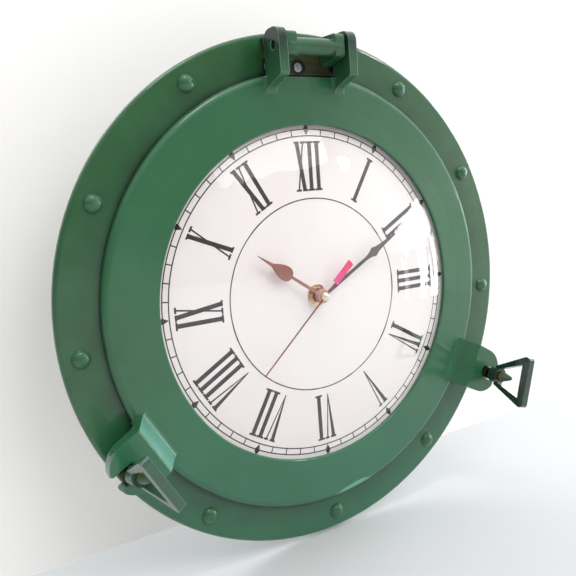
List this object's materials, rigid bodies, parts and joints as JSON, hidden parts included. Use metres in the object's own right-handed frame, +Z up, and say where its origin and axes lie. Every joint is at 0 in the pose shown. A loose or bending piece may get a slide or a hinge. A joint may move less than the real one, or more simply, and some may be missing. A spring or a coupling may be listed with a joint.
{
  "type": "porthole wall clock",
  "caption": "Round wall clock built as a ship's porthole: painted flange, top-hinged door with domed glass, swing-bolt clamps with bow nuts, Roman dial, battery movement.",
  "frame": {"origin": "centre of the hanger plate's round hole, on the plane of the wall", "axes": "+Z is up the wall, towards twelve o'clock; +Y points into the wall, so the dial faces -Y; +X is to the right as the dial is read"},
  "size_m": [0.3048, 0.0745, 0.3048],
  "materials": {
    "green_casting": "satin green paint over cast aluminium",
    "green_nut": "satin dark green paint",
    "green_rivet": "satin green paint over domed heads",
    "brass_thread": "dull brass with green paint on the tip",
    "zinc": "bright zinc plate",
    "glass": "clear domed glass",
    "rubber": "black rubber",
    "dial_board": "pressed fibre board",
    "dial_print": "printed off-white card",
    "back_board": "hardboard",
    "retainer": "satin green paint",
    "black_plastic": "moulded black plastic",
    "ivory_plastic": "moulded acetal",
    "hand_black": "gloss black lacquer",
    "hand_red": "gloss red lacquer",
    "brass": "polished brass",
    "cell_jacket": "printed sleeve over a steel can",
    "copper": "enamelled copper wire",
    "board": "fibreglass circuit board",
    "magnet": "sintered magnet"
  },
  "bodies": {
    "case": {"flange_ring": "green_casting", "back_drum": "green_casting", "flange_rivets": "green_rivet", "hinge_bracket": "green_casting", "hinge_screws": "zinc", "dial_plate": "dial_board", "dial_face": "dial_print", "dial_screws": "zinc", "rear_cover": "back_board", "rear_cover_screws": "zinc", "hanger_plate": "zinc", "hanger_screws": "zinc", "movement_case": "black_plastic", "movement_cover": "black_plastic", "movement_gasket": "rubber", "fixing_nut": "brass", "battery_cell": "cell_jacket", "contact_positive": "zinc", "contact_negative": "zinc", "drive_coil": "copper", "stator": "zinc", "circuit_board": "board"},
    "door": {"door_ring": "green_casting", "domed_glass": "glass", "glass_gasket": "rubber", "glass_retainer": "retainer", "retainer_screws": "zinc", "hinge_pin": "zinc", "clamp_pin_right": "zinc", "clamp_pin_left": "zinc"},
    "bolt_right": {"swing_bolt_right": "brass_thread"},
    "bolt_left": {"swing_bolt_left": "brass_thread"},
    "nut_right": {"bow_nut_right": "green_nut"},
    "nut_left": {"bow_nut_left": "green_nut"},
    "second": {"second_wheel": "ivory_plastic", "second_hand": "hand_red", "hand_cap": "brass"},
    "minute": {"minute_shaft": "brass", "minute_hand": "hand_black", "centre_wheel": "ivory_plastic"},
    "hour": {"hour_wheel": "brass", "hour_hand": "hand_black"},
    "motion": {"minute_wheel": "ivory_plastic"},
    "knob": {"set_knob": "black_plastic"},
    "rotor": {"rotor": "magnet"},
    "intermediate": {"intermediate_wheel": "ivory_plastic"},
    "third": {"third_wheel": "ivory_plastic"}
  },
  "joints": [
    {"name": "door_hinge", "type": "hinge", "parent": "case", "child": "door", "pos_m": [0, -0.039, 0.045], "axis": [-1, 0, 0], "range_deg": [0, 105]},
    {"name": "bolt_swing_right", "type": "hinge", "parent": "door", "child": "bolt_right", "pos_m": [0.12782, -0.0365, -0.16861], "axis": [0.4939, 0, 0.8695], "range_deg": [-25, 90]},
    {"name": "bolt_swing_left", "type": "hinge", "parent": "door", "child": "bolt_left", "pos_m": [-0.12857, -0.0365, -0.16727], "axis": [0.4848, 0, -0.8746], "range_deg": [-12, 103]},
    {"name": "nut_spin_right", "type": "hinge", "parent": "bolt_right", "child": "nut_right", "pos_m": [0.12782, -0.0365, -0.16861], "axis": [0, -1, 0], "continuous": true},
    {"name": "nut_spin_left", "type": "hinge", "parent": "bolt_left", "child": "nut_left", "pos_m": [-0.12857, -0.0365, -0.16727], "axis": [0.1967, -0.9744, 0.1091], "continuous": true},
    {"name": "second_spin", "type": "hinge", "parent": "case", "child": "second", "pos_m": [0, -0.015, -0.096], "axis": [0, 1, 0], "continuous": true},
    {"name": "minute_spin", "type": "hinge", "parent": "case", "child": "minute", "pos_m": [0, -0.015, -0.096], "axis": [0, 1, 0], "continuous": true},
    {"name": "hour_spin", "type": "hinge", "parent": "case", "child": "hour", "pos_m": [0, -0.015, -0.096], "axis": [0, 1, 0], "continuous": true},
    {"name": "motion_spin", "type": "hinge", "parent": "case", "child": "motion", "pos_m": [-0.00624, -0.015, -0.0924], "axis": [0, 1, 0], "continuous": true},
    {"name": "knob_spin", "type": "hinge", "parent": "case", "child": "knob", "pos_m": [-0.01247, -0.015, -0.0888], "axis": [0, 1, 0], "continuous": true},
    {"name": "rotor_spin", "type": "hinge", "parent": "case", "child": "rotor", "pos_m": [-0.00556, -0.015, -0.081], "axis": [0, 1, 0], "continuous": true},
    {"name": "intermediate_spin", "type": "hinge", "parent": "case", "child": "intermediate", "pos_m": [-0.0042, -0.015, -0.08873], "axis": [0, 1, 0], "continuous": true},
    {"name": "third_spin", "type": "hinge", "parent": "case", "child": "third", "pos_m": [0.00901, -0.015, -0.08969], "axis": [0, 1, 0], "continuous": true}
  ],
  "couplings": [
    {"joint": "hour_spin", "follows": "minute_spin", "ratio": 0.083333},
    {"joint": "motion_spin", "follows": "minute_spin", "ratio": -0.33333},
    {"joint": "knob_spin", "follows": "minute_spin", "ratio": 1},
    {"joint": "third_spin", "follows": "minute_spin", "ratio": -8},
    {"joint": "second_spin", "follows": "minute_spin", "ratio": 60},
    {"joint": "intermediate_spin", "follows": "minute_spin", "ratio": -300},
    {"joint": "rotor_spin", "follows": "minute_spin", "ratio": 1800}
  ]
}
